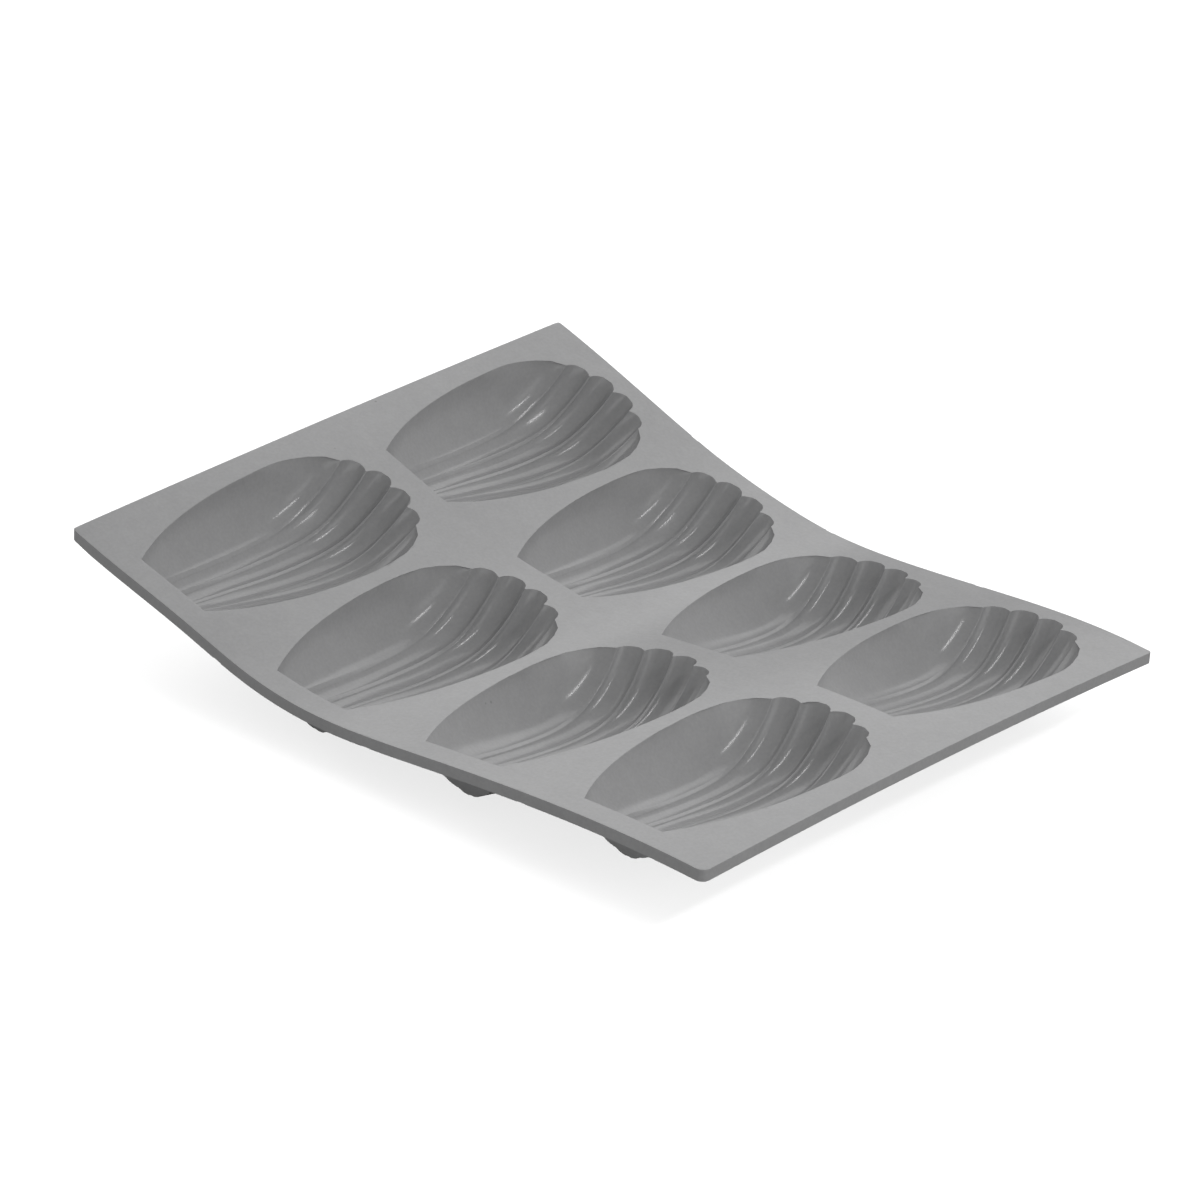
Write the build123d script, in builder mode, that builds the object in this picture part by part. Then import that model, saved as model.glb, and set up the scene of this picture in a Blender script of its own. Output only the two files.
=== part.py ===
"""Flexible foam-silicone baking mould with eight shell-shaped cups for small sponge cakes.

The mould is one moulding on the real object. It is drawn here at its natural lines: four rows of
deck, eight cups that hang below them and three soft webs along which the sheet folds. It lies in
the flexed shape that the photograph shows, with one short end lifted.

Frame: millimetres, +X along the sheet from the lifted end, +Y towards the fluted ends of the cups,
+Z up, origin under the middle of the sheet on the surface that the mould rests on.
"""
import math
import os

from build123d import *

os.makedirs("parts", exist_ok=True)

# Sheet
sheet_span = 208.8
sheet_width = 176.0
sheet_thickness = 3.0
corner_radius = 2.0
end_lift = 25.0
end_trim = 0.5

# Layout of the rows, the webs between them and the two cups of a row
row_count = 4
row_pitch_share = 0.2394
web_width = 2.6
rim_land = 1.25
near_margin = 6.9
far_margin = 7.5
column_gap = 9.0

# Hollow of a cup
hollow_depth = 14.6
crest_width = 1.0
rim_overrun = 2.5

# Wall of a cup, and the flat that the lowest cups stand on
cup_wall = 2.0
foot_flat = 0.5
stand_settle = 0.7

# Heights of the sheet's top face as shares of the end lift, at stations that are shares of the span.
# The lifted end lies a little askew, so its stations draw in towards the far edge.
station_shares = [-0.5, -0.4, -0.3, -0.2, -0.1, 0.0, 0.1, 0.3, 0.5]
near_edge_shares = [0.686, 0.436, 0.207, -0.035, -0.148, -0.127, -0.054, 0.062, 0.054]
middle_shares = [0.985, 0.739, 0.457, 0.218, 0.084, -0.014, 0.029, 0.145, 0.111]
far_edge_shares = [1.237, 0.957, 0.651, 0.363, 0.147, 0.004, -0.022, 0.072, 0.043]
lifted_end_shares = [1.0, 0.975, 0.95]

# A cup is drawn on slanting planes from its flat end to its fluted end. Each row gives the bottom
# point and the top point of the plane, as shares of the hollow's length and depth, then the inner
# crest, the outer crest and the half width, as shares of the hollow's half width.
# bottom y, bottom depth, top y, inner x, inner rise, outer x, outer rise, half width
plane_shares = [
    (0.052, 0.62, -0.014, 0.147, 0.045, 0.290, 0.143, 0.545),
    (0.131, 0.69, 0.058, 0.174, 0.036, 0.339, 0.130, 0.674),
    (0.315, 0.83, 0.222, 0.214, 0.014, 0.411, 0.098, 0.866),
    (0.498, 0.96, 0.374, 0.255, 0.013, 0.482, 0.094, 0.964),
    (0.682, 1.00, 0.501, 0.290, 0.009, 0.549, 0.112, 1.009),
    (0.815, 0.89, 0.544, 0.317, 0.022, 0.598, 0.178, 1.013),
    (0.932, 0.47, 0.577, 0.341, 0.054, 0.634, 0.196, 1.018),
    (0.996, 0.00, 0.610, 0.357, 0.063, 0.656, 0.196, 1.018),
    (1.012, -0.24, 0.655, 0.366, 0.067, 0.670, 0.205, 1.027),
]
inner_flute_share = 0.25
outer_flute_share = 0.18
side_bulge_share = 0.13

# Sizes that follow from the sheet
half_width = sheet_width / 2
row_pitch = row_pitch_share * sheet_span
hollow_half_width = (row_pitch - web_width) / 2 - rim_land
hollow_length = (sheet_width - near_margin - far_margin - column_gap) / 2
cup_pitch = hollow_length + column_gap
inner_flute_depth = inner_flute_share * hollow_half_width * plane_shares[4][3]
stand_height = hollow_depth + inner_flute_depth + cup_wall - stand_settle - foot_flat


def profile_points(line, drop):
    """Points of one lengthwise line of the sheet, a given distance below its top face."""
    height_shares, lifted_share = line
    points = []
    for station, height in zip(station_shares, height_shares):
        x = station * (sheet_span + 2 * end_trim)
        if station < 0:
            x *= lifted_share
        points.append((x, stand_height + height * end_lift - drop))
    return points


def sheet_section(y, line, top_drop, bottom_drop, flat_bottom=False):
    """Closed lengthwise section of the sheet, or of the room below it, on the plane at y."""
    top = profile_points(line, top_drop)
    plane = Plane(origin=(0, y, 0), x_dir=(1, 0, 0), z_dir=(0, -1, 0))
    with BuildSketch(plane) as section:
        with BuildLine():
            Spline(*top)
            if flat_bottom:
                low_left = (top[0][0], bottom_drop)
                low_right = (top[-1][0], bottom_drop)
                Polyline(top[-1], low_right, low_left, top[0])
            else:
                bottom = profile_points(line, bottom_drop)
                Line(top[-1], bottom[-1])
                Spline(*reversed(bottom))
                Line(bottom[0], top[0])
        make_face()
    return section.sketch


lines = list(zip([near_edge_shares, middle_shares, far_edge_shares], lifted_end_shares))
section_places = list(zip([-half_width, 0, half_width], lines))

with BuildPart() as sheet:
    loft(sections=[sheet_section(y, line, 0, sheet_thickness) for y, line in section_places])
    with BuildSketch():
        with BuildLine():
            Polyline(
                (-sheet_span / 2 * lifted_end_shares[0], -half_width),
                (sheet_span / 2, -half_width),
                (sheet_span / 2, half_width),
                (-sheet_span / 2 * lifted_end_shares[2], half_width),
                close=True,
            )
        make_face()
        fillet(vertices(), corner_radius)
    extrude(amount=stand_height + 2 * end_lift, mode=Mode.INTERSECT)

with BuildPart() as room_below:
    loft(
        sections=[
            sheet_section(y, line, sheet_thickness, -stand_height, flat_bottom=True)
            for y, line in section_places
        ]
    )

# The three lengthwise lines in space, to place the rows on
sheet_lines = []
for y, line in section_places:
    with BuildLine(Plane(origin=(0, y, 0), x_dir=(1, 0, 0), z_dir=(0, -1, 0))) as sheet_line:
        Spline(*profile_points(line, 0))
    sheet_lines.append(sheet_line.edge())
line_length = sheet_lines[1].length


def sheet_point(along, y):
    """Point of the sheet's top face at a distance along it from its middle, and at y."""
    near, middle, far = [line @ (0.5 + along / line_length) for line in sheet_lines]
    share = y / half_width
    return (
        near * (share * (share - 1) / 2)
        + middle * (1 - share * share)
        + far * (share * (share + 1) / 2)
    )


def cross_plane(along):
    """Plane across the sheet that faces along it, upright to the sheet's middle line."""
    near = sheet_point(along, -half_width)
    far = sheet_point(along, half_width)
    ahead = sheet_point(along + web_width / 2, 0) - sheet_point(along - web_width / 2, 0)
    across = (far - near).normalized()
    facing = (ahead - across * ahead.dot(across)).normalized()
    return Plane(origin=sheet_point(along, 0), x_dir=across, z_dir=facing)


def cup_plane(row, column):
    """Plane of one cup: origin at the middle of its flat end, on the sheet's top face."""
    along = (row - (row_count - 1) / 2) * row_pitch
    flat_end = -half_width + near_margin + column * cup_pitch
    middle = flat_end + hollow_length / 2
    start = sheet_point(along, flat_end)
    ahead = sheet_point(along + row_pitch / 4, middle) - sheet_point(along - row_pitch / 4, middle)
    towards = sheet_point(along, flat_end + hollow_length) - start
    up = ahead.cross(towards).normalized()
    return Plane(origin=start, x_dir=ahead.normalized(), z_dir=up)


def bulge_arc(start, end, share):
    """Arc from start to end that swells outwards by a share of its chord."""
    step = (end[0] - start[0], end[1] - start[1])
    middle = (
        (start[0] + end[0]) / 2 + step[1] * share,
        (start[1] + end[1]) / 2 - step[0] * share,
    )
    ThreePointArc(start, middle, end)


def shell_section(number, grow):
    """Section of a cup on one slanting plane, as it is or grown outwards by a wall."""
    bottom_y, depth, top_y, inner_x, inner_rise, outer_x, outer_rise, width = plane_shares[number]
    last = len(plane_shares) - 1
    before = plane_shares[max(number - 1, 0)]
    after = plane_shares[min(number + 1, last)]
    run = (after[0] - before[0]) * hollow_length
    fall = (after[1] - before[1]) * hollow_depth
    reach = math.hypot(run, fall)
    bottom = Vector(0, bottom_y * hollow_length, -depth * hollow_depth)
    bottom += Vector(0, -fall / reach, -run / reach) * grow
    top = Vector(0, top_y * hollow_length, rim_overrun if depth >= 0 else -depth * hollow_depth)
    if number == 0:
        bottom += Vector(0, -grow, 0)
        top += Vector(0, -grow, 0)
    up = (top - bottom).normalized()
    rise = (top - bottom).length
    side = hollow_half_width
    half_crest = crest_width / 2
    inner = (inner_x * side, inner_rise * side)
    outer = (outer_x * side + grow / 2, outer_rise * side)
    edge = (width * side + grow, rise)
    with BuildSketch(Plane(origin=bottom, x_dir=(1, 0, 0), z_dir=(0, -up.Z, up.Y))) as section:
        with BuildLine():
            stops = [(-edge[0], edge[1])]
            for x, v in ((-outer[0], outer[1]), (-inner[0], inner[1]), (0, 0), inner, outer):
                stops += [(x - half_crest, v), (x + half_crest, v)]
            stops.append(edge)
            swells = [side_bulge_share, outer_flute_share, inner_flute_share]
            swells += list(reversed(swells))
            for index, share in enumerate(swells):
                bulge_arc(stops[2 * index], stops[2 * index + 1], share)
                if index < len(swells) - 1:
                    Line(stops[2 * index + 1], stops[2 * index + 2])
            Line(edge, stops[0])
        make_face()
    return section.sketch


with BuildPart() as hollow:
    loft(sections=[shell_section(number, 0) for number in range(len(plane_shares))])

with BuildPart() as shell:
    loft(sections=[shell_section(number, cup_wall) for number in range(len(plane_shares))])

pieces = []


def keep(piece, label):
    """Name a finished piece and write its file."""
    piece.label = label
    export_step(piece, f"parts/{label}.step")
    pieces.append(piece)


def row_planes(row):
    """Planes at the two long sides of a row, or nothing where the sheet ends."""
    along = (row - (row_count - 1) / 2) * row_pitch
    reach = (row_pitch - web_width) / 2
    low = cross_plane(along - reach) if row > 0 else None
    high = cross_plane(along + reach) if row < row_count - 1 else None
    return low, high


def trim_to_row(row):
    """Cut the part under way back to one row of the sheet."""
    low, high = row_planes(row)
    if low:
        split(bisect_by=low, keep=Keep.TOP)
    if high:
        split(bisect_by=high, keep=Keep.BOTTOM)


# Rows of deck, each with its two openings
for row in range(row_count):
    with BuildPart() as deck_row:
        add(sheet.part)
        trim_to_row(row)
        for column in range(2):
            with Locations(cup_plane(row, column)):
                add(hollow.part, mode=Mode.SUBTRACT)
    keep(deck_row.part, f"deck_row_{row + 1}")

# Webs between the rows
for web in range(row_count - 1):
    along = (web - (row_count - 2) / 2) * row_pitch
    with BuildPart() as web_strip:
        add(sheet.part)
        split(bisect_by=cross_plane(along - web_width / 2), keep=Keep.TOP)
        split(bisect_by=cross_plane(along + web_width / 2), keep=Keep.BOTTOM)
    keep(web_strip.part, f"web_{web + 1}")

# Cups, open to the hollow above and closed below
for row in range(row_count):
    for column, side_name in enumerate(("near", "far")):
        with BuildPart() as cup:
            with Locations(cup_plane(row, column)):
                add(shell.part)
            add(room_below.part, mode=Mode.INTERSECT)
            with Locations(cup_plane(row, column)):
                add(hollow.part, mode=Mode.SUBTRACT)
            trim_to_row(row)
            split(bisect_by=Plane.XY, keep=Keep.TOP)
        keep(cup.part, f"cup_{row + 1}_{side_name}")

# The fold lines, midway through each web's thickness
for web in range(row_count - 1):
    along = (web - (row_count - 2) / 2) * row_pitch
    near = sheet_point(along, -half_width)
    far = sheet_point(along, half_width)
    middle = sheet_point(along, 0) - Vector(0, 0, sheet_thickness / 2)
    axis = (far - near).normalized()
    print("fold", web + 1, [round(v, 3) for v in middle], [round(v, 5) for v in axis])

for piece in pieces:
    box = piece.bounding_box()
    print(piece.label, len(piece.solids()), round(piece.volume), "low", round(box.min.Z, 2))
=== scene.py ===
# %% [markdown]
# # A flexible baking mould in grey foam silicone
#
# The mould is one soft sheet with eight shell-shaped cups, and it lies gently flexed. Its cups are
# easy to describe on a flat sheet and awkward to describe on a bent one. So this lesson models one
# cell of the sheet flat, out of grids of faces, puts the cells together row by row, and only then
# lays every point on the bent sheet. The looks come from one procedural material and soft light.

import math

import bmesh
import bpy
import numpy as np
from mathutils import Matrix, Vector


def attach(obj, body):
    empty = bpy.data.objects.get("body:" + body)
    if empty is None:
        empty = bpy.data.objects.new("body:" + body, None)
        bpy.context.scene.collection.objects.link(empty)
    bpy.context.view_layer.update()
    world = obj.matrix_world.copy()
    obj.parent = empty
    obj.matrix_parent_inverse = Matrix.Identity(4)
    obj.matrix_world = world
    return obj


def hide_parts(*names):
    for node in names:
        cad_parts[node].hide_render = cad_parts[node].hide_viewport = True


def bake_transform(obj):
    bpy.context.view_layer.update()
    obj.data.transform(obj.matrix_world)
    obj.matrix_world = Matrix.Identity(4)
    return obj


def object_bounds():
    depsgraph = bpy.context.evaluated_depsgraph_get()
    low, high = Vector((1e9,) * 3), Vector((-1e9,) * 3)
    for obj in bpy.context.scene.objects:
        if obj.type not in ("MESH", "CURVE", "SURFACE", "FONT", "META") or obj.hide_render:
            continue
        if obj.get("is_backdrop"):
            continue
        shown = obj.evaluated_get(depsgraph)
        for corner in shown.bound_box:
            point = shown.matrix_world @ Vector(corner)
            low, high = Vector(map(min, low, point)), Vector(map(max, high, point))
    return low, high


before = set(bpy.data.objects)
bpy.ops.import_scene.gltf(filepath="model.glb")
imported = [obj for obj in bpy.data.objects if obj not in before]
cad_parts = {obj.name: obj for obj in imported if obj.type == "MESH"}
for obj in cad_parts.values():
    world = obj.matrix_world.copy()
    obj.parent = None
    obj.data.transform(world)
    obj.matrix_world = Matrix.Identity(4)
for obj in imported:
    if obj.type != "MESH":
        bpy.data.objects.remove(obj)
size = {"frame": [list(corner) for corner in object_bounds()]}
print("CAD box", size["frame"])

# %% [markdown]
# ## Sizes
#
# All lengths here are in millimetres, as on a drawing, and turn into metres at the very end. The
# tables give shapes as shares of a whole size. Shares are handy when a form is measured from a
# picture, since they stay true if the whole is made longer or deeper.

# %% Sizes of the sheet and of its cups
MM = 0.001
SPAN, WIDTH, THICK = 208.8, 176.0, 3.0
SHARP_CORNER, FRONT_CORNER = 0.8, 2.2
LIFT, TRIM = 25.0, 0.5

ROWS, PITCH_SHARE, WEB, RIM_LAND = 4, 0.2394, 2.6, 1.25
PITCH = PITCH_SHARE * SPAN
MARGIN, CUP_LENGTH, COLUMN_PITCH = 6.9, 76.3, 85.3
REACH = (PITCH - WEB) / 2
CUP_DEPTH, CUP_SIDE = 14.6, REACH - RIM_LAND
END_WALL, LOW_WALL, SIDE_WALL = 1.2, 3.0, 1.0

FLUTE_SWELL, LOWEST_CREST, FOOT_WALL, SETTLE, FOOT_FLAT = 0.25, 0.290, 2.0, 0.7, 0.5
STAND = CUP_DEPTH + FLUTE_SWELL * CUP_SIDE * LOWEST_CREST + FOOT_WALL - SETTLE - FOOT_FLAT
print("row pitch", round(PITCH, 2), "mm, sheet stands", round(STAND, 2), "mm high")

# %% [markdown]
# ## The tables of shapes
#
# The first table bends the sheet: nine stations along it, and the height at each of them on the
# near edge, the middle line and the far edge. The second and third describe a cup on nine slanting
# planes, from its flat end to its fluted end. Numbers like these could be drawn as curves by hand.
# A table was chosen because every number can be read, compared with the picture and corrected
# alone.

# %% Tables for the sheet and the cup
STATIONS = np.array([-0.5, -0.4, -0.3, -0.2, -0.1, 0.0, 0.1, 0.3, 0.5])
HEIGHTS = (
    (0.686, 0.436, 0.207, -0.035, -0.148, -0.127, -0.054, 0.062, 0.054),
    (0.985, 0.739, 0.457, 0.218, 0.084, -0.014, 0.029, 0.145, 0.111),
    (1.237, 0.957, 0.651, 0.363, 0.147, 0.004, -0.022, 0.072, 0.043),
)
LIFTED_END = (1.0, 0.975, 0.95)

# bottom y, bottom depth, top y, inner x, inner rise, outer x, outer rise, half width
PLANES = np.array(
    [
        (0.052, 0.62, -0.014, 0.147, 0.045, 0.290, 0.143, 0.545),
        (0.131, 0.69, 0.058, 0.174, 0.036, 0.339, 0.130, 0.674),
        (0.315, 0.83, 0.222, 0.214, 0.014, 0.411, 0.098, 0.866),
        (0.498, 0.96, 0.374, 0.255, 0.013, 0.482, 0.094, 0.964),
        (0.682, 1.00, 0.501, 0.290, 0.009, 0.549, 0.112, 1.009),
        (0.815, 0.89, 0.544, 0.317, 0.022, 0.598, 0.178, 1.013),
        (0.932, 0.47, 0.577, 0.341, 0.054, 0.634, 0.196, 1.018),
        (0.996, 0.00, 0.610, 0.357, 0.063, 0.656, 0.196, 1.018),
        (1.012, -0.24, 0.655, 0.366, 0.067, 0.670, 0.205, 1.027),
    ]
)

# swell of the outer and inner flutes, swell of the flank, its fold, width of a crest
SWELLS = np.array(
    [
        (0.04, 0.05, 0.130, 0.000, 1.25),
        (0.05, 0.07, 0.130, 0.005, 1.25),
        (0.09, 0.12, 0.135, 0.015, 1.25),
        (0.15, 0.20, 0.130, 0.025, 1.25),
        (0.20, 0.27, 0.120, 0.040, 1.10),
        (0.25, 0.34, 0.112, 0.050, 0.85),
        (0.28, 0.38, 0.122, 0.040, 0.60),
        (0.29, 0.39, 0.140, 0.025, 0.42),
        (0.29, 0.39, 0.140, 0.015, 0.40),
    ]
)
print("stations", len(STATIONS), "planes", len(PLANES))

# %% [markdown]
# ## Smooth lines through points
#
# A spline is a smooth curve through a few given points. This one is the common cubic kind: each
# stretch is a cubic, and neighbouring stretches share slope and bend. Blender's own curves would do
# for one line. Here dozens of values change along the cup at once, and writing the few lines of
# algebra out once gives a tool for both the bent sheet and the sides of the cups.


# %% A cubic spline
def spline(knots, values, at):
    """Cubic spline through values at knots, read at other places, for one column or several."""
    knots, values = np.asarray(knots, float), np.asarray(values, float)
    values = values.reshape(len(knots), -1)
    gap = np.diff(knots)
    slope = np.diff(values, axis=0) / gap[:, None]
    n = len(knots)
    system, right = np.zeros((n, n)), np.zeros(values.shape)
    for i in range(1, n - 1):
        system[i, i - 1 : i + 2] = gap[i - 1], 2 * (gap[i - 1] + gap[i]), gap[i]
        right[i] = 6 * (slope[i] - slope[i - 1])
    system[0, :3] = gap[1], -(gap[0] + gap[1]), gap[0]
    system[-1, -3:] = gap[-1], -(gap[-1] + gap[-2]), gap[-2]
    bend = np.linalg.solve(system, right)
    at = np.clip(np.asarray(at, float), knots[0], knots[-1])
    i = np.clip(np.searchsorted(knots, at) - 1, 0, n - 2)
    left, rest = (at - knots[i])[:, None], (knots[i + 1] - at)[:, None]
    width = gap[i][:, None]
    return (
        (bend[i] * rest**3 + bend[i + 1] * left**3) / (6 * width)
        + (values[i] / width - bend[i] * width / 6) * rest
        + (values[i + 1] / width - bend[i + 1] * width / 6) * left
    )


def length_along(points):
    """Distance walked along a line of points, from its first point to each of them."""
    return np.concatenate([[0], np.cumsum(np.hypot(*np.diff(points, axis=0).T))])


# %% [markdown]
# ## The bent sheet
#
# The real sheet is soft and lies in a gentle curve. Three lines run the length of it: the near
# edge, the middle and the far edge. The lifted end is higher at the far edge than at the near one,
# so the sheet is twisted as well as bent. A curve or lattice modifier could bend a flat model, but
# it would not keep true lengths along three different lines. So a point of the flat sheet is looked
# up on the lines by its distance, and blended across them.

# %% The three lines
FINE_POINTS = 1200
LINES, LINE_LENGTHS = [], []
for heights, lifted in zip(HEIGHTS, LIFTED_END):
    x = STATIONS * (SPAN + 2 * TRIM)
    x[x < 0] *= lifted
    knots = np.c_[x, STAND + np.array(heights) * LIFT]
    chord = length_along(knots)
    fine = spline(chord, knots, np.linspace(0, chord[-1], FINE_POINTS))
    run = length_along(fine)
    LINES.append((run / run[-1], fine))
    LINE_LENGTHS.append(run[-1])
MIDDLE_LENGTH = LINE_LENGTHS[1]
print("middle line", round(MIDDLE_LENGTH, 2), "mm along its bends")

# %% [markdown]
# ## Laying points on it
#
# A point of the flat model has a place along the sheet, a place across it and a height over its top
# face. The direction that stands upright on the bent surface comes from two short steps along it.
# Close to the border that direction is turned plumb, so that the sheet's trimmed edges stay inside
# the size that the real one has.

# %% From the flat sheet to the bent one
STEP, PLUMB = 1, 8
BOX = np.array(size["frame"]) / MM


def sheet_top(along, y):
    """Points of the sheet's top face, from distances along it and across it."""
    share = 0.5 + along / MIDDLE_LENGTH
    spots = []
    for fraction, fine in LINES:
        x, z = (np.interp(share, fraction, fine[:, column]) for column in (0, 1))
        spots.append(np.c_[x, z])
    v = (y / (WIDTH / 2))[:, None]
    spot = spots[0] * v * (v - 1) / 2 + spots[1] * (1 - v * v) + spots[2] * v * (v + 1) / 2
    return np.c_[spot[:, 0], y, spot[:, 1]]


def lay(points):
    """Flat points (along, y, height over the top face) laid on the bent sheet."""
    along, y, height = points.T
    top = sheet_top(along, y)
    ahead = sheet_top(along + STEP, y) - sheet_top(along - STEP, y)
    across = sheet_top(along, y + STEP) - sheet_top(along, y - STEP)
    up = np.cross(ahead, across)
    up /= np.linalg.norm(up, axis=1)[:, None]
    lifted = np.interp(y, (-WIDTH / 2, WIDTH / 2), (LIFTED_END[0], LIFTED_END[2]))
    reach = np.where(along < 0, SPAN / 2 * lifted, SPAN / 2)
    up[:, 0] *= np.clip((reach - np.abs(top[:, 0])) / PLUMB, 0, 1)
    up[:, 1] *= np.clip((WIDTH / 2 - np.abs(y)) / PLUMB, 0, 1)
    return np.clip(top + up * height[:, None], *BOX)


corners = lay(np.array([(-SPAN / 2, -WIDTH / 2, 0), (-SPAN / 2, WIDTH / 2, 0)]))
print("lifted end", corners[:, 2].round(1), "mm high at its near and far corners")

# %% [markdown]
# ## One line of a cup
#
# A cup is described on slanting planes, like the ribs of a fan. On each plane run five narrow
# crests with round flutes between them, and a wide flank on each side that folds over where it
# meets the outer crest. A flute is an arc of a circle, a crest is a short straight land a hair
# higher than its neighbours, and the whole line is softened a little, because foam leaves a steel
# mould with soft corners.

# %% Arcs, folded flanks and soft corners
PER_SPAN, PER_CREST = 160, 12
RAISED, SPREAD, FOLD_POWER, FLANK_EASE = 0.12, 0.09, 6, 0.5


def folded(start, end, share, fold, count):
    """Points on a line that swells by a share of its chord and folds more tightly near its end."""
    start, end = np.array(start), np.array(end)
    along = np.linspace(0, 1, count)
    late = along**FOLD_POWER
    step = end - start
    swell = 4 * share * along * (1 - along) + 4 * fold * late * (1 - late)
    return start + step * along[:, None] + np.array([step[1], -step[0]]) * swell[:, None]


def arc(start, end, share, count):
    """Points on a circular arc that swells outwards by a share of its chord."""
    start, end = np.array(start), np.array(end)
    step = end - start
    reach = 2 * math.atan(2 * share)
    angle = np.linspace(-reach, reach, count)
    along = 0.5 + np.sin(angle) / math.sin(reach) / 2
    swell = (np.cos(angle) - math.cos(reach)) / (1 - math.cos(reach)) * share
    return start + step * along[:, None] + np.array([step[1], -step[0]]) * swell[:, None]


def soften(line):
    """The same line with its corners rounded, by averaging over a short way along it."""
    run = length_along(line)
    total, weight = np.zeros_like(line), 0
    for step in range(-4, 5):
        share = math.exp(-(step**2) / 8)
        spot = np.clip(run + step * SPREAD / 2, 0, run[-1])
        total += share * np.c_[np.interp(spot, run, line[:, 0]), np.interp(spot, run, line[:, 1])]
        weight += share
    return total / weight


def rib(rise, sizes, side_wall):
    """Line across one plane, from flank to flank: places to the side and up the plane."""
    inner, inner_rise, outer, outer_rise, side = sizes[:5]
    outer_swell, inner_swell, flank_swell, fold, crest = sizes[5:]
    outer, side, half = outer + side_wall / 2, side + side_wall, crest / 2
    outer_slope = (outer_rise - inner_rise) / (outer - inner - crest)
    inner_slope = (inner_rise / (inner - crest) + outer_slope) / 2
    places = ((-outer, outer_rise, -outer_slope), (-inner, inner_rise, -inner_slope), (0, 0, 0))
    places += ((inner, inner_rise, inner_slope), (outer, outer_rise, outer_slope))
    stops = []
    for x, v, slope in places:
        stops += [(x - half, v - slope * half), (x + half, v + slope * half)]
    flank_swell *= 1 - FLANK_EASE * side_wall
    flank = folded((-side, rise), stops[0], flank_swell, fold, PER_SPAN)
    line = [flank]
    across = (np.arange(PER_CREST)[:, None] + 0.5) / PER_CREST
    for i, swell in enumerate((outer_swell, inner_swell, inner_swell, outer_swell, None)):
        land = np.array(stops[2 * i]) * (1 - across) + np.array(stops[2 * i + 1]) * across
        land[:, 1] += RAISED * crest
        line.append(land)
        if swell:
            line.append(arc(stops[2 * i + 1], stops[2 * i + 2], swell, PER_SPAN))
    line.append(flank[::-1] * np.array([-1, 1]))
    return soften(np.concatenate(line))


# %% [markdown]
# ## The skin of one cup
#
# Towards the fluted end of the real cup the flutes grow deeper and the crests narrower. A spline
# runs through the tables, so that hundreds of planes lie between the nine, and each carries a line
# with the same number of points. Lofting curves would give such a skin too. With points in step the
# skin is at once a grid, which is what Blender's faces need. With walls added, the same function
# draws the outside of the cup: thicker below than at its end, as the underside in the picture
# shows.

# %% Inside and outside of the cup
FINE_ROWS, OVERRUN, END_FADE = 401, 2.5, 0.12


def cup_field(end_wall, low_wall, side_wall):
    """Points of the cup's skin: planes along the first axis, and along each line on the second."""
    bottom = np.c_[PLANES[:, 0] * CUP_LENGTH, -PLANES[:, 1] * CUP_DEPTH]
    top_height = np.where(PLANES[:, 1] >= 0, OVERRUN, -PLANES[:, 1] * CUP_DEPTH)
    table = np.c_[bottom, PLANES[:, 2] * CUP_LENGTH, top_height, PLANES[:, 3:] * CUP_SIDE, SWELLS]
    chord = length_along(bottom)
    smooth = spline(chord, table, np.linspace(0, chord[-1], FINE_ROWS))
    heading = np.gradient(smooth[:, :2], axis=0)
    heading /= np.linalg.norm(heading, axis=1)[:, None]
    field = []
    for number, (row, (dy, dz)) in enumerate(zip(smooth, heading)):
        low = row[:2] + np.array([dz, -dy]) * low_wall
        high = row[2:4].copy()
        fade = max(0.0, 1 - number / (FINE_ROWS * END_FADE))
        low[0] -= end_wall * fade
        high[0] -= end_wall * fade
        rise = np.linalg.norm(high - low)
        up = (high - low) / rise
        x, v = rib(rise, row[4:], side_wall).T
        field.append(np.c_[x, low[0] + v * up[0], low[1] + v * up[1]])
    return np.array(field)


inside, outside = cup_field(0, 0, 0), cup_field(END_WALL, LOW_WALL, SIDE_WALL)
print("cup lines", inside.shape, "deepest", round(inside[..., 2].min(), 2), "mm")

# %% [markdown]
# ## From lines to a grid that stops at the rim
#
# The lines run past the sheet's face, so each has to be cut there. Lines near the middle of the cup
# leave through the fluted end; the flanks leave through the sides. A boolean cut would leave ragged
# small faces along the rim. Here the grid itself follows the rim: its rows stretch so that the last
# one lies exactly on the fluted rim, and in the flanks each row starts where its line meets the
# face. The cells are small near the crests, where the shape turns quickly, and larger where it is
# calm.

# %% Where the rows and columns of the grid lie
ROW_SHARES = np.concatenate([[0, 0.004], np.linspace(0.013, 0.988, 74), [0.996, 1]])
FLANK = np.array(
    [0, 0.02, 0.07, 0.15, 0.25, 0.36, 0.47, 0.57, 0.66, 0.73, 0.79, 0.84, 0.885, 0.925, 0.955, 0.98]
)
HALF_CREST = np.array([0, 0.3, 0.45]) * PER_CREST
HALF_FLUTE = PER_CREST / 2 + np.array([0.015, 0.045, 0.09, 0.16, 0.26, 0.37]) * PER_SPAN
HALF = np.concatenate([HALF_CREST, HALF_FLUTE])
FLUTE = np.concatenate([HALF, (PER_SPAN + PER_CREST - HALF)[::-1]])
SEARCH, CLOSING = 400, 8
print("rows", len(ROW_SHARES), "places in a flank", len(FLANK), "in a flute", len(FLUTE))


# %% Reading the skin and finding the rim
def skin_at(field, rows, columns):
    """Points of the skin between its planes and between the points of its lines."""
    rows = np.clip(rows, 0, field.shape[0] - 1)
    columns = np.clip(columns, 0, field.shape[1] - 1)
    i = np.minimum(rows.astype(int), field.shape[0] - 2)
    j = np.minimum(columns.astype(int), field.shape[1] - 2)
    a, b = (rows - i)[:, None], (columns - j)[:, None]
    low = field[i, j] * (1 - b) + field[i, j + 1] * b
    high = field[i + 1, j] * (1 - b) + field[i + 1, j + 1] * b
    return low * (1 - a) + high * a


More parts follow.
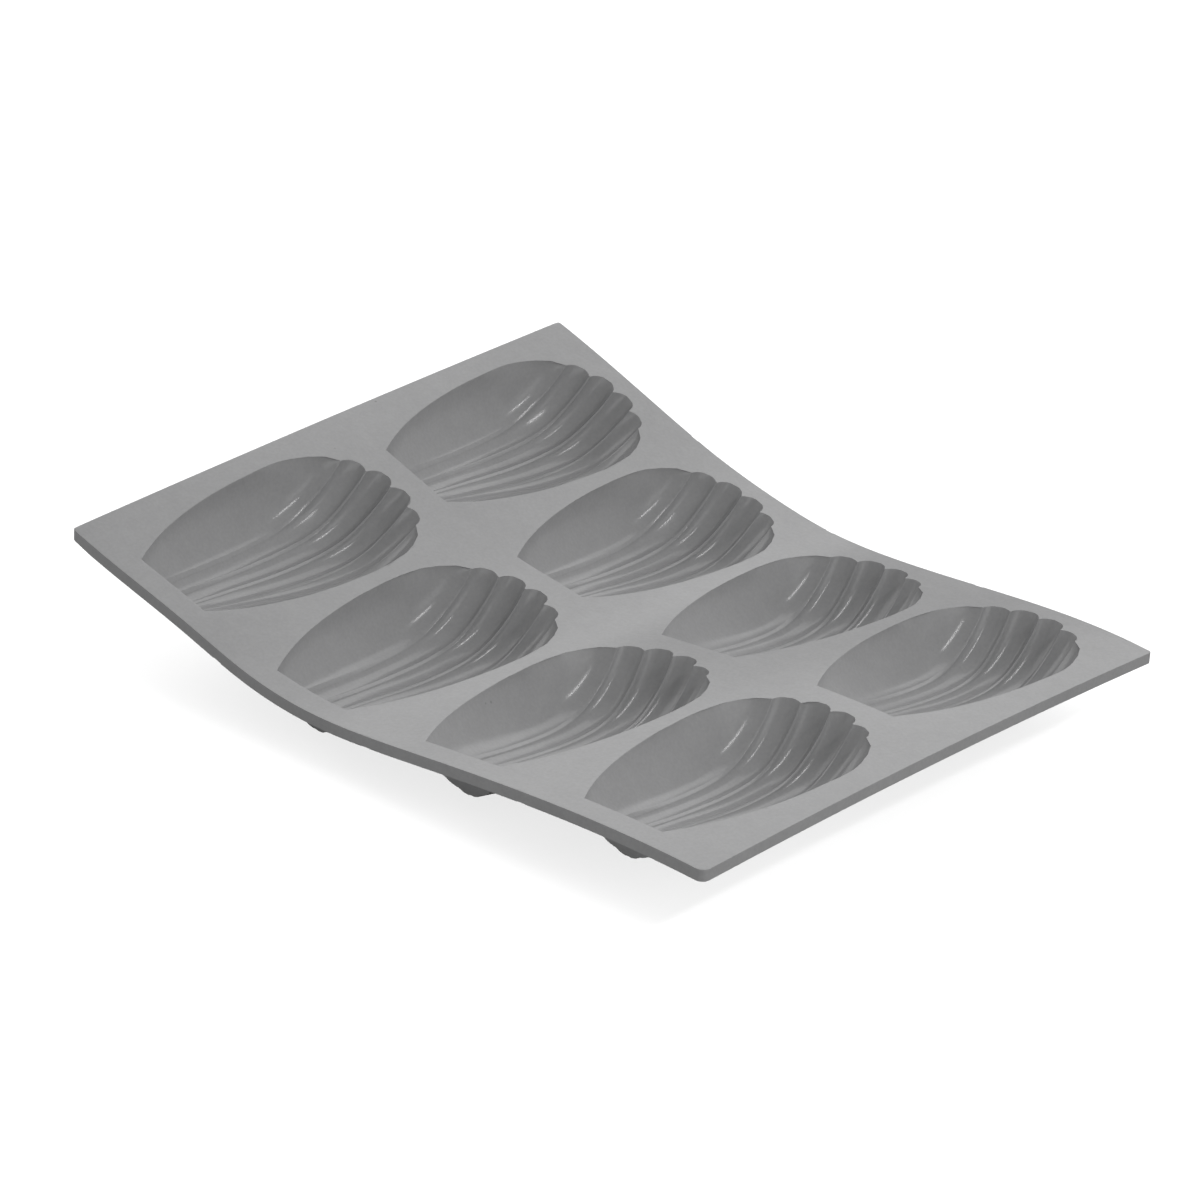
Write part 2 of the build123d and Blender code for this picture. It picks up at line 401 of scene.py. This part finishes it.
def planes_to_level(field, column, level):
    """How many planes along, as a number with a fraction, a column reaches a level."""
    planes = len(field)
    z = skin_at(field, np.arange(planes, dtype=float), np.full(planes, column))[:, 2]
    after = int(np.argmax(z >= level)) if (z >= level).any() else planes - 1
    after = max(after, 1)
    return after - 1 + (level - z[after - 1]) / (z[after] - z[after - 1])


def flank_start(field, row, crest, level):
    """Place on a row where its flank passes down through a level."""
    spots = np.linspace(0, crest, SEARCH)
    z = skin_at(field, np.full(SEARCH, row), spots)[:, 2]
    after = np.argmax(z < level) if (z < level).any() else SEARCH - 1
    share = (z[after - 1] - level) / (z[after - 1] - z[after])
    return spots[after - 1] + share * (spots[1] - spots[0])


# %% A grid over the cup, cut off at a level
def cup_grid(field, level):
    """Grid over the skin between the flat end and the place where it reaches a level."""
    crests = [(PER_SPAN + PER_CREST) * i - (PER_CREST + 1) / 2 for i in range(1, 6)]
    columns = np.concatenate([crest + FLUTE[:-1] for crest in crests[:-1]] + [crests[-1:]])
    exits = np.array([planes_to_level(field, column, level) for column in columns])
    grid = []
    for share in ROW_SHARES:
        row = share * exits[0]
        start = crests[0] if share >= 1 else flank_start(field, row, crests[0], level)
        places = start + (crests[0] - start) * FLANK
        places = np.append(places, crests[0] - HALF_CREST[:0:-1] * (1 - share**CLOSING))
        left = skin_at(field, np.full(len(places), row), places)
        left[0, 2] = level
        middle = skin_at(field, share * exits, columns)
        right = left[::-1] * np.array([-1, 1, 1])
        grid.append(np.concatenate([left, middle, right]))
    grid = np.array(grid)
    grid[-1, :, 2] = level
    return grid


SIDE_ROOM = 0.15
inner_grid, outer_grid = cup_grid(inside, 0.0), cup_grid(outside, -THICK)
outer_grid[..., 0] = np.clip(outer_grid[..., 0], -REACH + SIDE_ROOM, REACH - SIDE_ROOM)
rim = inner_grid.max(axis=(0, 1)).round(2)
print("grid", inner_grid.shape, "rim x", rim[0], "y", rim[1])

# %% [markdown]
# ## The border of one flat cell
#
# A cell is one cup and the piece of sheet round it. Its border is the line where it meets the next
# cell, a web or the edge of the mould, and two of its corners are corners of the real sheet. The
# border gets as many points as the cup's rim, so that a ring of faces can join the two. The points
# lie closer where a rounded corner needs them.

# %% Places along the border
ACROSS = inner_grid.shape[1] - 1
FLANK_CELLS = len(FLANK) + len(HALF_CREST) - 1
SIDE_CELLS = len(ROW_SHARES) - 1 - FLANK_CELLS
CELL_BORDER = (MARGIN + CUP_LENGTH + (COLUMN_PITCH - CUP_LENGTH) / 2) - WIDTH / 2
CORNER_STEPS = np.array([0, 0.25, 0.5, 0.8, 1.3, 2.2])


def side_places(column):
    """Places across the sheet of the points on a cell's long side, closer at the outer corner."""
    start, end = (-WIDTH / 2, CELL_BORDER) if column == 0 else (CELL_BORDER, WIDTH / 2)
    others = SIDE_CELLS + 2 - len(CORNER_STEPS)
    if column == 0:
        rest = np.linspace(start + CORNER_STEPS[-1], end, others)
        return np.concatenate([start + CORNER_STEPS[:-1], rest])
    rest = np.linspace(start, end - CORNER_STEPS[-1], others)
    return np.concatenate([rest, (end - CORNER_STEPS[:-1])[::-1]])


def row_middle(row):
    """Distance along the flat sheet of the middle of a row."""
    return (row - (ROWS - 1) / 2) * PITCH


def round_corner(loop, x, x_step, y, y_step, radius):
    """Pull the points of a line that lie outside a rounded corner onto its arc."""
    centre = np.array([x + x_step * radius, y + y_step * radius])
    away = loop - centre
    length = np.linalg.norm(away, axis=1)
    pull = (away[:, 0] * x_step < 0) & (away[:, 1] * y_step < 0) & (length > radius)
    loop[pull] = centre + away[pull] / length[pull][:, None] * radius


def cell_border(row, column):
    """Closed line of points round a cell, in step with the points of the cup's rim."""
    low, high = row_middle(row) - REACH, row_middle(row) + REACH
    if row == 0:
        low = -MIDDLE_LENGTH / 2 + TRIM
    if row == ROWS - 1:
        high = MIDDLE_LENGTH / 2 - TRIM
    sides = side_places(column)
    along = np.linspace(low, high, ACROSS + 1)
    near = np.c_[along, np.full(ACROSS + 1, sides[0])]
    right = np.c_[np.full(SIDE_CELLS + 1, high), sides]
    far = np.c_[along, np.full(ACROSS + 1, sides[-1])][::-1]
    left = np.c_[np.full(SIDE_CELLS + 1, low), sides][::-1]
    loop = np.concatenate([near[:-1], right[:-1], far[:-1], left])
    y, y_step = (-WIDTH / 2, 1) if column == 0 else (WIDTH / 2, -1)
    if row == 0:
        round_corner(loop, low, 1, y, y_step, SHARP_CORNER)
    if row == ROWS - 1:
        radius = FRONT_CORNER if column == 0 else SHARP_CORNER
        round_corner(loop, high, -1, y, y_step, radius)
    return loop


print("points round a cell", len(cell_border(0, 0)))

# %% [markdown]
# ## The patches of one flat cell
#
# On the real mould a cell is a single skin of foam. Here it takes seven patches: the inside of the
# cup, its flat end wall and the ring of sheet from the rim out to the border, the same three again
# below, and the strip round the edge. Blender's grid primitive gives each patch its faces, and the
# points are then moved to where they belong. This is like drawing squares on a sheet of rubber and
# pulling it into shape, and it leaves an even net of faces that takes bevels and shading well.

# %% Patches and rings
RING_LAYERS = np.array([0, 0.04, 0.11, 0.22, 0.36, 0.5, 0.64, 0.78, 0.89, 0.96, 1])
WALL_LAYERS = np.array([0, 0.04, 0.2, 0.4, 0.6, 0.8, 0.96, 1])
EDGE_LAYERS = np.array([0, 0.15, 0.5, 0.85, 1])


def rim_loop(grid):
    """Closed line of points round a cup's rim: flat end, one side, fluted end, other side."""
    flat = np.c_[
        np.linspace(grid[0, 0, 0], grid[0, -1, 0], ACROSS + 1),
        np.full(ACROSS + 1, grid[0, 0, 1]),
        np.full(ACROSS + 1, grid[0, 0, 2]),
    ]
    fluted = grid[-1, FLANK_CELLS : ACROSS - FLANK_CELLS + 1][::-1]
    return np.concatenate([flat[:-1], grid[:-1, -1], fluted[:-1], grid[::-1, 0]])


def patch(points, name):
    """Mesh object of a grid of points, made from the grid primitive."""
    rows, columns = points.shape[0] - 1, points.shape[1] - 1
    bpy.ops.mesh.primitive_grid_add(x_subdivisions=columns, y_subdivisions=rows, size=1)
    made = bpy.context.object
    made.name = name
    made.data.vertices.foreach_set("co", (points.reshape(-1, 3) * MM).ravel())
    made.data.update()
    return made


def between(first, last, shares):
    """Rows of points that lead from one line to another."""
    shares = shares[:, None, None]
    return first * (1 - shares) + last * shares


def cell_patches(row, column):
    """The patches of one cell, in place on the flat sheet."""
    shift = np.array([row_middle(row), -WIDTH / 2 + MARGIN + column * COLUMN_PITCH, 0])
    border = cell_border(row, column)
    top = np.c_[border, np.zeros(len(border))]
    low = np.c_[border, np.full(len(border), -THICK)]
    made = []
    for grid, edge in ((inner_grid, top), (outer_grid, low)):
        moved = grid + shift
        rim = rim_loop(moved)
        made.append(patch(moved, "cup"))
        made.append(patch(between(moved[0], rim[: ACROSS + 1], WALL_LAYERS), "end wall"))
        made.append(patch(between(rim, edge, RING_LAYERS), "sheet"))
    made.append(patch(between(top, low, EDGE_LAYERS), "edge"))
    return made


print("layers in a ring", len(RING_LAYERS) - 1, "in an end wall", len(WALL_LAYERS) - 1)

# %% [markdown]
# ## Joining a piece
#
# The patches of a piece are joined into one mesh, and points that fall together are merged. Where
# the two cells of a row meet, a strip of faces is left standing inside the material, and it is
# taken out. Then the sharp edges are marked for a fine bevel, as nothing that comes out of a mould
# has knife edges. The cuts towards the neighbouring rows stay unmarked, so that no groove shows
# there.

# %% Joining, merging and marking
MERGE, COLLAPSE, ON_PLACE, SHARP = 4e-6, 2e-6, 0.01, math.radians(32)


def choose(objects):
    """Select just these objects and make the last one active."""
    bpy.ops.object.select_all(action="DESELECT")
    for item in objects:
        item.select_set(True)
    bpy.context.view_layer.objects.active = objects[-1]


def join_patches(made, name):
    """One closed mesh from patches whose borders fall together."""
    choose(made)
    bpy.ops.object.join()
    whole = bpy.context.object
    whole.name = name
    whole.data.name = name
    bpy.ops.object.mode_set(mode="EDIT")
    bpy.ops.mesh.select_all(action="SELECT")
    bpy.ops.mesh.remove_doubles(threshold=MERGE)
    bpy.ops.mesh.dissolve_degenerate(threshold=COLLAPSE)
    bpy.ops.object.mode_set(mode="OBJECT")
    return whole


def lies_on(part, axis, place):
    """True if all points of a face or an edge lie on a plane across an axis."""
    return all(abs(v.co[axis] / MM - place) < ON_PLACE for v in part.verts)


def mark_sharp(whole, cuts):
    """Take out the inner wall and mark the sharp edges, but not those on the cuts between rows."""
    mesh = whole.data
    work = bmesh.new()
    work.from_mesh(mesh)
    inner_wall = [face for face in work.faces if lies_on(face, 1, CELL_BORDER)]
    bmesh.ops.delete(work, geom=inner_wall, context="FACES")
    bmesh.ops.recalc_face_normals(work, faces=work.faces)
    weights = work.edges.layers.float.new("bevel_weight_edge")
    marked = 0
    for edge in work.edges:
        if len(edge.link_faces) != 2 or edge.calc_face_angle(0) < SHARP:
            continue
        if not any(lies_on(edge, 0, cut) for cut in cuts):
            edge[weights] = 1.0
            marked += 1
    loose = sum(len(edge.link_faces) != 2 for edge in work.edges)
    if work.calc_volume(signed=True) < 0:
        bmesh.ops.reverse_faces(work, faces=work.faces)
    work.to_mesh(mesh)
    work.free()
    print(whole.name, "faces", len(mesh.polygons), "sharp edges", marked, "loose edges", loose)


# %% [markdown]
# ## Rounding, laying and shading a piece
#
# The bevel modifier rounds the marked edges while the piece is still flat, where its width is true
# everywhere. Then every point is laid on the bent sheet. Weighted normals let the large calm faces
# decide the shading, so that the thin bevels catch a clean line of light.

# %% Finishing a piece
BEVEL, SMOOTH = 0.3, math.radians(34)


def apply_modifier(whole, kind, **settings):
    """Add a modifier with its settings and make its result the mesh."""
    modifier = whole.modifiers.new(kind.lower(), kind)
    for key, value in settings.items():
        setattr(modifier, key, value)
    bpy.ops.object.modifier_apply(modifier=modifier.name)


def bevel_and_lay(whole):
    """Bevel the marked edges, lay the mesh on the bent sheet and shade it."""
    choose([whole])
    mesh = whole.data
    apply_modifier(whole, "BEVEL", width=BEVEL * MM, segments=2, limit_method="WEIGHT")
    flat = np.empty(len(mesh.vertices) * 3)
    mesh.vertices.foreach_get("co", flat)
    mesh.vertices.foreach_set("co", (lay(flat.reshape(-1, 3) / MM) * MM).ravel())
    mesh.update()
    bpy.ops.object.shade_smooth_by_angle(angle=SMOOTH)
    apply_modifier(whole, "WEIGHTED_NORMAL", mode="FACE_AREA", keep_sharp=True)


# %% [markdown]
# ## The rows of the mould
#
# The real mould has four rows of two cups. Each row is one mesh made of two cells, since it moves
# as one piece when the mould folds. All eight cups come from the same grid, as all of them left the
# same shape in the steel.

# %% Four rows
ROW_PIECES = []
for row in range(ROWS):
    made = cell_patches(row, 0) + cell_patches(row, 1)
    whole = join_patches(made, f"row_{row + 1}_moulding")
    cuts = []
    if row > 0:
        cuts.append(row_middle(row) - REACH)
    if row < ROWS - 1:
        cuts.append(row_middle(row) + REACH)
    mark_sharp(whole, cuts)
    bevel_and_lay(whole)
    ROW_PIECES.append(whole)

# %% [markdown]
# ## The webs between the rows
#
# A web is a plain strip, as thick as the sheet. It could be a bevelled cube. Instead it is made as
# a closed box of patches with the same points along its sides as the rows have, so the surfaces run
# on without a step.

# %% Strips between the rows
WEB_POINTS = 7
PLACES = np.concatenate([side_places(0)[:-1], side_places(1)])
WEB_PIECES = []
for web in range(ROWS - 1):
    middle = row_middle(web + 0.5)
    along = np.linspace(middle - WEB / 2, middle + WEB / 2, WEB_POINTS)
    x, y = np.meshgrid(along, PLACES)
    top = np.stack([x, y, np.zeros_like(x)], axis=-1)
    low = np.stack([x, y, np.full_like(x, -THICK)], axis=-1)
    made = [patch(top, "top"), patch(low, "low")]
    for side in (0, -1):
        made.append(patch(np.stack([top[:, side], low[:, side]]), "side"))
        made.append(patch(np.stack([top[side], low[side]]), "end"))
    strip = join_patches(made, f"web_{web + 1}_strip")
    mark_sharp(strip, [along[0], along[-1]])
    bevel_and_lay(strip)
    WEB_PIECES.append(strip)

# %% [markdown]
# ## Foam silicone
#
# The real material is a mid grey, neither shiny nor chalky: light slides over it in soft sheens,
# and on the tight curves of the flutes it gathers into short bright strokes. Close up it has faint
# clouds, a very fine grain and a scatter of tiny pits, and each pit is also painted darker, as
# painted shade in the tiny hole. A photograph could be wrapped round the mould as a texture, but it
# would carry one day's light with it. So the pattern is made of noise.
# All of it reads the Object coordinates, and since every piece sits at the same origin, the pattern
# runs on over the joins.

# %% A material and helpers for its nodes
foam = bpy.data.materials.new("mould_foam")
foam.use_nodes = True
nodes, links = foam.node_tree.nodes, foam.node_tree.links
shader = nodes["Principled BSDF"]
shader.inputs["Roughness"].default_value = 0.2
shader.inputs["IOR"].default_value = 1.43
place = nodes.new("ShaderNodeTexCoord")


def noise(scale, detail):
    """Noise texture on the object's own coordinates."""
    node = nodes.new("ShaderNodeTexNoise")
    node.inputs["Scale"].default_value = scale
    node.inputs["Detail"].default_value = detail
    links.new(place.outputs["Object"], node.inputs["Vector"])
    return node.outputs["Fac"]


def remap(value, low, high, to_low, to_high):
    """Value stretched from one range to another and held inside it."""
    node = nodes.new("ShaderNodeMapRange")
    ends = {"From Min": low, "From Max": high, "To Min": to_low, "To Max": to_high}
    for key, end in ends.items():
        node.inputs[key].default_value = end
    links.new(value, node.inputs["Value"])
    return node.outputs["Result"]


def combine(operation, first, second):
    """Math node on two values."""
    node = nodes.new("ShaderNodeMath")
    node.operation = operation
    for socket, value in zip(node.inputs, (first, second)):
        if isinstance(value, (int, float)):
            socket.default_value = value
        else:
            links.new(value, socket)
    return node.outputs["Value"]


# %% Clouds, grain, and pits with painted shade in them
clouds = remap(noise(28, 3), 0.3, 0.7, 0.96, 1.04)
mottle = remap(noise(240, 3), 0.3, 0.7, 0.975, 1.025)
grain = remap(noise(1100, 3), 0.3, 0.7, 0.965, 1.035)

pits = nodes.new("ShaderNodeTexVoronoi")
pits.inputs["Scale"].default_value = 240
links.new(place.outputs["Object"], pits.inputs["Vector"])
chosen = nodes.new("ShaderNodeSeparateColor")
links.new(pits.outputs["Color"], chosen.inputs["Color"])
rare = combine("GREATER_THAN", chosen.outputs["Red"], 0.985)
# Depth of each rare pit: it shapes the bump and also paints shade into the pit
pit_depth_and_shade = combine("MULTIPLY", remap(pits.outputs["Distance"], 0.04, 0.11, 1.0, 0.0), rare)

texture = combine("MULTIPLY", combine("MULTIPLY", clouds, mottle), grain)
# Painted shade: the colour is darkened to 0.72 in the middle of each pit
shade = combine("MULTIPLY", texture, remap(pit_depth_and_shade, 0, 1, 1.0, 0.72))
tint = nodes.new("ShaderNodeVectorMath")
tint.operation = "SCALE"
tint.inputs[0].default_value = (0.305, 0.305, 0.308)
links.new(shade, tint.inputs["Scale"])
links.new(tint.outputs["Vector"], shader.inputs["Base Color"])

bump = nodes.new("ShaderNodeBump")
bump.inputs["Strength"].default_value = 0.25
bump.inputs["Distance"].default_value = 0.00006
links.new(combine("SUBTRACT", noise(2600, 2), pit_depth_and_shade), bump.inputs["Height"])
links.new(bump.outputs["Normal"], shader.inputs["Normal"])
print("material", foam.name, "with", len(nodes), "nodes")

# %% [markdown]
# ## Standing for the CAD pieces
#
# Each row moves with its own body. For each web the fold line and a step square to it, reaching a
# little short of its sides, are worked out, but nothing here uses them: the web stays where it
# lies.

# %% Tie each row to its body and bake each web in place
for index, whole in enumerate(ROW_PIECES):
    number = index + 1
    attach(whole, f"row_{number}")
    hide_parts(f"deck_row_{number}", f"cup_{number}_near", f"cup_{number}_far")

BEND_SHARE = 0.8
for index, strip in enumerate(WEB_PIECES):
    number = index + 1
    along = row_middle(index + 0.5)
    near, far, middle, ahead = sheet_top(
        np.array([along, along, along, along + WEB / 2]), np.array([-WIDTH / 2, WIDTH / 2, 0, 0])
    )
    axis = (far - near) / np.linalg.norm(far - near)
    step = ahead - middle
    step -= axis * step.dot(axis)
    step *= BEND_SHARE
    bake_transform(strip)
    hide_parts(f"web_{number}")

for piece in ROW_PIECES + WEB_PIECES:
    piece.data.materials.clear()
    piece.data.materials.append(foam)
print("tied", len(ROW_PIECES), "rows and", len(WEB_PIECES), "webs")

# %% [markdown]
# ## A plain white floor
#
# In the picture the mould lies on plain white. The floor is a white card: for the mould it gives
# back soft light, and for the camera it is so pale that only a faint shadow is left on it. The
# camera also sees through it. A mould that is folded down past the table can then still be made
# out, and so can the underside.

# %% Floor
bpy.ops.mesh.primitive_plane_add(size=6, location=(0, 0, -0.0002))
floor = bpy.context.object
floor.name = "floor"
card = bpy.data.materials.new("floor_card")
card.use_nodes = True
card_nodes, card_links = card.node_tree.nodes, card.node_tree.links
card_shader = card_nodes["Principled BSDF"]
card_shader.inputs["Roughness"].default_value = 0.95
card_shader.inputs["Specular IOR Level"].default_value = 0.1
looked_at = card_nodes.new("ShaderNodeLightPath").outputs["Is Camera Ray"]
see_through = card_nodes.new("ShaderNodeBsdfTransparent")
for unseen, seen, socket in (
    (0.5, 0.6, card_shader.inputs["Base Color"]),
    (0.0, 0.76, see_through.inputs["Color"]),
):
    tone = card_nodes.new("ShaderNodeMapRange")
    tone.inputs["To Min"].default_value = unseen
    tone.inputs["To Max"].default_value = seen
    card_links.new(looked_at, tone.inputs["Value"])
    card_links.new(tone.outputs["Result"], socket)
both = card_nodes.new("ShaderNodeAddShader")
card_links.new(card_shader.outputs["BSDF"], both.inputs[0])
card_links.new(see_through.outputs["BSDF"], both.inputs[1])
card_links.new(both.outputs["Shader"], card_nodes["Material Output"].inputs["Surface"])
floor.data.materials.append(card)
floor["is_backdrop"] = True
print("floor", tuple(floor.dimensions))

# %% [markdown]
# ## A white room, darker on one side
#
# The room is white for the camera. For the mould it is a soft light all round, weaker from the side
# on which the camera stands. That keeps the far walls of the cups darker than the sheet, which is
# what gives them their depth in the picture. A picture of a real studio would light it as well, but
# two values and a smooth step between them are easier to follow.

# %% Room
BRIGHT, DIM = 0.61, 0.27
world = bpy.data.worlds.new("room")
bpy.context.scene.world = world
world.use_nodes = True
room_nodes, room_links = world.node_tree.nodes, world.node_tree.links
room_nodes.clear()
out = room_nodes.new("ShaderNodeOutputWorld")
white = room_nodes.new("ShaderNodeBackground")
glow = room_nodes.new("ShaderNodeBackground")
mix = room_nodes.new("ShaderNodeMixShader")
for lit in (white, glow):
    lit.inputs["Color"].default_value = (1, 1, 1, 1)
heading = room_nodes.new("ShaderNodeTexCoord")
front = room_nodes.new("ShaderNodeVectorMath")
front.operation = "DOT_PRODUCT"
front.inputs[1].default_value = (0.45, -0.75, 0.48)
room_links.new(heading.outputs["Generated"], front.inputs[0])
dimmer = room_nodes.new("ShaderNodeMapRange")
dimmer.interpolation_type = "SMOOTHSTEP"
for key, value in {"From Min": 0.1, "From Max": 0.95, "To Min": BRIGHT, "To Max": DIM}.items():
    dimmer.inputs[key].default_value = value
room_links.new(front.outputs["Value"], dimmer.inputs["Value"])
room_links.new(dimmer.outputs["Result"], glow.inputs["Strength"])
ray = room_nodes.new("ShaderNodeLightPath")
room_links.new(ray.outputs["Is Camera Ray"], mix.inputs["Fac"])
room_links.new(glow.outputs["Background"], mix.inputs[1])
room_links.new(white.outputs["Background"], mix.inputs[2])
room_links.new(mix.outputs["Shader"], out.inputs["Surface"])
print("room light between", DIM, "and", BRIGHT)

# %% [markdown]
# ## Light
#
# Four soft boxes stand round the mould: a large one high at the back, from which the surface slides
# its sheen, one on the left, one low on the right that reaches the far walls of the cups, and a
# long low one in front for the edge of the sheet. The fifth lamp is a narrow strip. A glossy
# surface mirrors it, and each flute squeezes that mirror image into the short bright stroke of the
# picture.


# %% Lamps
def softbox(name, place, extent, power):
    """Rectangular area lamp at a place, facing the middle of the mould."""
    bpy.ops.object.light_add(type="AREA", location=place)
    lamp = bpy.context.object
    lamp.name = name
    lamp.data.shape = "RECTANGLE"
    lamp.data.size, lamp.data.size_y = extent
    lamp.data.energy = power
    aim = np.zeros(3) - np.array(place)
    tilt = math.acos(-aim[2] / np.linalg.norm(aim))
    lamp.rotation_euler = (tilt, 0, math.atan2(aim[1], aim[0]) - math.pi / 2)
    print(name, "at", np.round(place, 2), "with", power, "W")


def on_dome(azimuth, elevation, distance=1.6):
    """Place on a dome over the object, from degrees round from +X and above the table."""
    around, above = math.radians(azimuth), math.radians(elevation)
    flat = distance * math.cos(above)
    return (flat * math.cos(around), flat * math.sin(around), distance * math.sin(above))


softbox("back_box", on_dome(122, 40), (1.3, 1.0), 4.8)
softbox("left_box", on_dome(180, 35), (0.8, 0.8), 2.4)
softbox("right_box", on_dome(0, 20), (1.0, 0.6), 2.0)
softbox("front_box", on_dome(292, 9), (1.6, 0.4), 3)
softbox("strip", on_dome(12, 49), (0.9, 0.09), 6.2)

# %% [markdown]
# ## Camera
#
# The camera looks over the near corner with a long lens, from about 24 degrees above the table. It
# leans by a few degrees, as the photograph does. Its three directions are written out as the
# columns of a matrix, which is the plainest way to give a camera a lean.

# %% Camera
bpy.ops.object.camera_add()
camera = bpy.context.object
forward = np.array([-0.58492, 0.69963, -0.41035])
right = np.array([0.7492, 0.65987, 0.05712])
up = np.array([-0.31074, 0.27403, 0.91014])
matrix = np.eye(4)
matrix[:3, 0], matrix[:3, 1], matrix[:3, 2] = right, up, -forward
matrix[:3, 3] = np.array([645.79, -777.73, 478.11]) * MM
camera.matrix_world = Matrix(matrix.tolist())
camera.data.lens = 131.95
camera.data.sensor_width = 36
camera.data.clip_end = 20
bpy.context.scene.camera = camera
bpy.context.scene.view_settings.view_transform = "Standard"
print("camera at", matrix[:3, 3].round(3), "m with a", camera.data.lens, "mm lens")

# %% [markdown]
# ## The box round the finished mould
#
# The looks have to fit the part that the CAD program made. So the box round the finished mould is
# measured again, and written down beside the box that was measured before anything was modelled.

# %% Sizes for the record and the end of the lesson
size["with_looks"] = [list(corner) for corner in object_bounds()]
print("box with looks", size["with_looks"])
